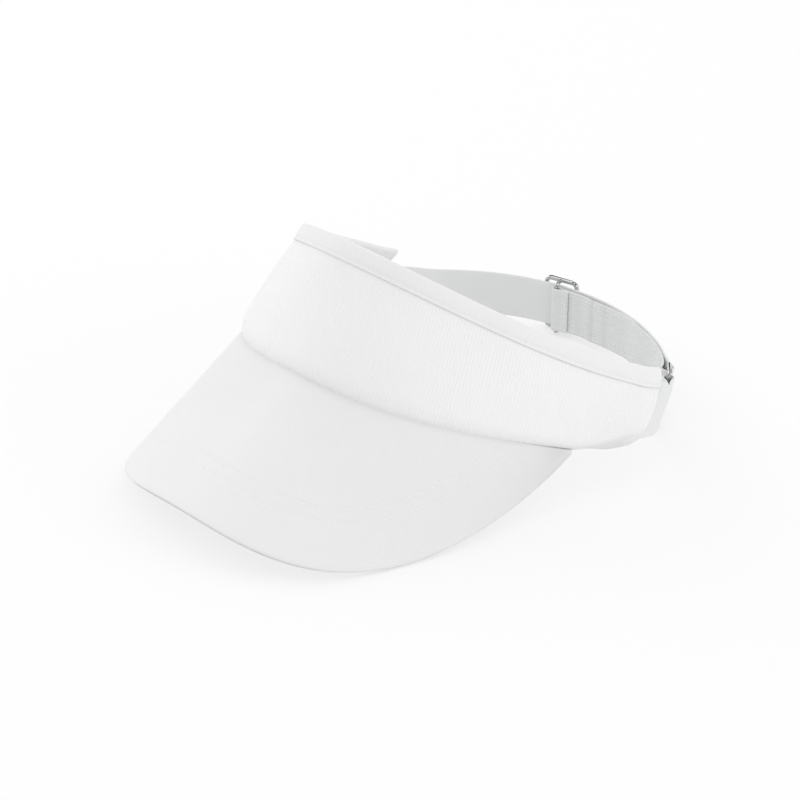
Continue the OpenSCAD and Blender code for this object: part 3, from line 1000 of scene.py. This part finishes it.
def webbing(name, bands, step, thick, marks=None):
    lengths = [0.0]
    middles = bandMiddles(bands)
    for a, b in zip(middles, middles[1:]):
        lengths.append(lengths[-1] + (b - a).length)
    columns = int(lengths[-1] / step)

    def section(u):
        low, high = bandAt(bands, lengths, u)
        return [low.lerp(high, k) for k in (0, 0.25, 0.5, 0.75, 1)]
    piece = clothStrip(name, columns, 16, section, marks)
    thicken(piece, thick)
    return piece


def edgeMark(u, w, spot):  # the sewn edges of the strap are drawn in a little
    return -sum(max(0, 1 - abs(w - row) / 0.035) for row in (0.09, 0.2, 0.8, 0.91))


def bendShade(u, w, spot):  # painted shade in soft bands, for creases where the strap bends as it is drawn through the tri-glide
    a = atan2(spot.x, spot.y - strapForm["centre"]) * 180 / pi
    return 0.55 * max(0, sind(a * 72 + 90)) * max(0, 1 - abs(a - 1) / 9)


middleRadius = strapForm["inner"] + strapForm["thick"] / 2
returnRadius = strapForm["inner"] - 2 * strapForm["slack"] - strapForm["thick"] * 1.5
legRadius = strapForm["inner"] - strapForm["slack"] - strapForm["thick"] / 2
ringBar = -strapForm["ringGap"] / 2

sewn = sewnBands(-1, -2.1, 20.8)
firstBand = arcBand(strapForm["turnUp"], middleRadius)
heading = Vector((cosd(strapForm["turnUp"]), -sind(strapForm["turnUp"]), 0))
throughBands = rounded(
    sewn + tailBands(-1, sewn[-1], firstBand, heading, 10, 0)
    + [arcBand(a, middleRadius) for a in span(strapForm["turnUp"], 38.5, 60)]
    + loopBands(strapForm["ringAt"], strapForm["ringRadius"], ringBar, strapForm["loop"], 145, 0))
throughRun = webbing("adjustingStrap", throughBands, 1.4, strapForm["thick"])
finishPiece(throughRun, "root", strapSmooth, "webbing", "adjusting_strap")


def ripple(a):  # the returning run lies loosely inside the other
    ease = smooth((a + 8) / 6) * smooth((26 - a) / 6)
    return -ease * (0.25 + 0.25 * sind(a * 19) + 0.15 * sind(a * 41 + 60))


def returnMiddle(a):
    return mix(returnRadius, legRadius, smooth((a + 1) / 13)) + ripple(a)


returnArc = [arcBand(a, returnMiddle(a)) for a in span(38.5, -9.7, 60)]
returnBands = rounded(
    loopBands(strapForm["ringAt"], strapForm["ringRadius"], ringBar, strapForm["loop"], 0, -145) + returnArc
    + loopBands(strapForm["glideAt"], returnRadius - 0.65, 0, 1.7, 50, 310)
    + [arcBand(a, returnRadius - 1.3) for a in span(-10.8, -8.2, 5)], 2)
returnRun = webbing("strapReturn", returnBands, 1.1, strapForm["thick"], {"groove": edgeMark, "creaseShade": bendShade})
bendStart, bendEnd = run(33, returnRadius, 13.7) * mm, run(-4, returnRadius, 13.7) * mm
finishPiece(returnRun, None, strapTwill, "webbing", "strap_return")


def arcRow(r, z, a, b, inward, pitch=2.6):
    points = [run(k, r(k), z) for k in span(a, b, 120)]
    outs = [awayFrom(k) * (-1 if inward else 1) for k in span(a, b, 120)]
    return stationsAlong(points, outs, pitch)


def returnFace(a):
    return returnMiddle(a) - strapForm["thick"] / 2 - 0.02


low, high = strapForm["low"], strapForm["high"]
outerRows = []
for z in (low + 2.0, high - 2.0):
    outerRows += arcRow(lambda k: strapForm["inner"] + strapForm["thick"] + 0.02, z, 7.5, 38, False)
sewRow("strapStitch", outerRows, 2.1, 0.42, "root", "thread", "strap_stitch")

innerRows = []
for z in (low + 2.0, low + 4.4, high - 4.4, high - 2.0):
    innerRows += arcRow(returnFace, z, -7.5, 36, True)
sewRow("returnStitch", innerRows, 2.1, 0.34, None, "thread", "return_stitch")


def loopRows():  # two rows close the loop round the tri-glide's middle bar
    rows = []
    for a in (-10.1, -9.1):
        out = -awayFrom(a)
        points = [run(a, returnRadius - 1.3 - strapForm["thick"] / 2 - 0.02, z) for z in span(low + 1, high - 1, 20)]
        rows += stationsAlong(points, [out] * len(points), 2.2)
    return rows


sewRow("glideLoopStitch", loopRows(), 1.9, 0.42, "glide", "thread", "glide_loop_stitch")


# ring tab

tabForm = {"outer": -2.2, "bulge": 2.5, "loop": 2.45, "half": 0.65}


def tabLayer(out, q):
    ends = sewnBands(1, out, 23.5)
    seats = [tuple(fitting(strapForm["ringAt"], strapForm["ringRadius"], s, q, z) for z in (low, high))
             for s in (-ringBar + 6.5, -ringBar + 3.8)]
    away = Vector((-cosd(strapForm["ringAt"]), sind(strapForm["ringAt"]), 0))
    return ends + tailBands(1, ends[-1], seats[0], away, 6, tabForm["bulge"]) + seats


tabBands = rounded(
    tabLayer(tabForm["outer"], tabForm["half"])
    + loopBands(strapForm["ringAt"], strapForm["ringRadius"], -ringBar, tabForm["loop"], 50, 310)
    + tabLayer(tabForm["outer"] - 1.3, -tabForm["half"])[::-1], 1)
tab = webbing("ringTab", tabBands, 0.9, 1.15)
finishPiece(tab, "root", strapSmooth, "webbing", "ring_tab")


def tabRow():
    at, r, along, out = strapForm["ringAt"], strapForm["ringRadius"], -ringBar + 4.9, tabForm["half"] + 0.6
    points = [fitting(at, r, along, out, z) for z in span(low + 1, high - 1, 20)]
    return stationsAlong(points, [awayFrom(at)] * len(points), 2.2)


sewRow("tabStitch", tabRow(), 1.9, 0.42, "root", "thread", "tab_stitch")


# tacks that close the panel's ends

def tackRows(side):
    stations = []
    for back in (2.0, 3.6):
        place = wallFrame(side * (crown["end"] - back))
        points = [wall(place, place[3] * t, 0.72, 1) for t in span(0.08, 0.7, 24)]
        stations += stationsAlong(points, [place[2]] * len(points), 1.7)
    for step in range(7):  # a short zigzag across the binding's end
        place = wallFrame(side * (crown["end"] - 1.2 - 0.45 * step))
        foot = wall(place, place[3] - binding["width"] + 1.2, binding["outer"] + 0.3, 1)
        tip = wall(place, place[3] - 1.2, binding["outer"] + 0.75, 1)
        stations += stationsAlong([foot, foot.lerp(tip, 0.5), tip], [place[2]] * 3, 1.9)
    return stations


sewRow("rightEndTack", tackRows(-1), 1.8, 0.42, "root", "thread", "right_end_tack")
sewRow("leftEndTack", tackRows(1), 1.8, 0.42, "root", "thread", "left_end_tack")


# chrome wire

def bendWire(name, wire, start, toward, moves, sides=18):
    # a ring of points is pushed along the wire's path: ("go", distance) or ("turn", axis, radius, angle)
    deselectAll()
    bpy.ops.mesh.primitive_circle_add(
        vertices=sides, radius=wire / 2 * mm, location=start * mm, rotation=toward.to_track_quat("Z", "Y").to_euler())
    bpy.ops.object.transform_apply(location=True, rotation=True, scale=True)
    piece = bpy.context.object
    piece.name = piece.data.name = name
    bpy.ops.object.mode_set(mode="EDIT")
    bpy.ops.mesh.select_all(action="SELECT")
    place, way = start.copy(), toward.normalized()
    for move in moves:
        if move[0] == "go":
            bpy.ops.mesh.extrude_region_move(TRANSFORM_OT_translate={"value": tuple(way * move[1] * mm)})
            place += way * move[1]
        else:
            axis, radius, angle = move[1:]
            centre = place + axis.cross(way) * radius
            bpy.ops.mesh.spin(steps=7, angle=-radians(angle), center=tuple(centre * mm), axis=tuple(axis))
            turn = Matrix.Rotation(radians(angle), 3, axis)
            place, way = centre + turn @ (place - centre), turn @ way
    bpy.ops.object.mode_set(mode="OBJECT")
    return piece


def closeWire(piece):
    activate(piece)
    bpy.ops.object.mode_set(mode="EDIT")
    bpy.ops.mesh.select_all(action="SELECT")
    bpy.ops.mesh.remove_doubles(threshold=0.00002)
    bpy.ops.mesh.fill_holes(sides=0)
    bpy.ops.mesh.normals_make_consistent(inside=False)
    bpy.ops.object.mode_set(mode="OBJECT")
    bpy.ops.object.shade_smooth_by_angle(angle=radians(40))


def joinPieces(name, pieces):
    deselectAll()
    for piece in pieces:
        piece.select_set(True)
    bpy.context.view_layer.objects.active = pieces[0]
    bpy.ops.object.join()
    pieces[0].name = pieces[0].data.name = name
    return pieces[0]


def wireFrame(name, length, height, wire, corner):  # a closed rectangle, s along x and upright along z
    axis = Vector((0, 1, 0))
    wide, tall = length - wire - 2 * corner, height - wire - 2 * corner
    moves = [("go", tall), ("turn", axis, corner, 90), ("go", wide), ("turn", axis, corner, 90),
             ("go", tall), ("turn", axis, corner, 90), ("go", wide), ("turn", axis, corner, 90)]
    return bendWire(name, wire, Vector((-(length - wire) / 2, 0, wire / 2 + corner)), Vector((0, 0, 1)), moves)


def setOnStrap(piece, angle, radius, curved):  # from its own frame onto the strap
    for v in piece.data.vertices:
        s, q, z = v.co / mm
        if curved:
            v.co = run(angle + s / radius * 180 / pi, radius + q, z) * mm
        else:
            v.co = fitting(angle, radius, s, q, z) * mm


ringWire = {"length": 11.7, "height": strapForm["metalHeight"], "wire": strapForm["wire"], "corner": 1.7}
ring = wireFrame("rectRing", ringWire["length"], ringWire["height"], ringWire["wire"], ringWire["corner"])
closeWire(ring)
setOnStrap(ring, strapForm["ringAt"], strapForm["ringRadius"], False)
finishPiece(ring, "ring", brightNickel, "chrome", "rect_ring")

glideWire = {
    "length": 18.4, "height": strapForm["metalHeight"], "wire": 2.2, "corner": 2.4,
    "bar": 1.8, "barCorner": 1.6, "radius": 100.6,
}


def makeGlide():
    g = glideWire
    outer = wireFrame("triGlide", g["length"], g["height"], g["wire"], g["corner"])
    # the middle bar is a bracket that stands in from the frame's two rails
    depth = g["radius"] - (returnRadius - 0.65)
    corner, rail = g["barCorner"], g["wire"] / 2
    side = Vector((1, 0, 0))
    bracket = bendWire("bracket", g["bar"], Vector((0, 0, g["height"] - rail)), Vector((0, -1, 0)), [
        ("go", depth - corner), ("turn", side, corner, 90), ("go", g["height"] - 2 * rail - 2 * corner),
        ("turn", side, corner, 90), ("go", depth - corner)])
    closeWire(outer)
    closeWire(bracket)
    glide = joinPieces("triGlide", [outer, bracket])
    setOnStrap(glide, strapForm["glideAt"], g["radius"], True)
    return glide


glide = makeGlide()
finishPiece(glide, "glide", brightNickel, "chrome", "tri_glide")
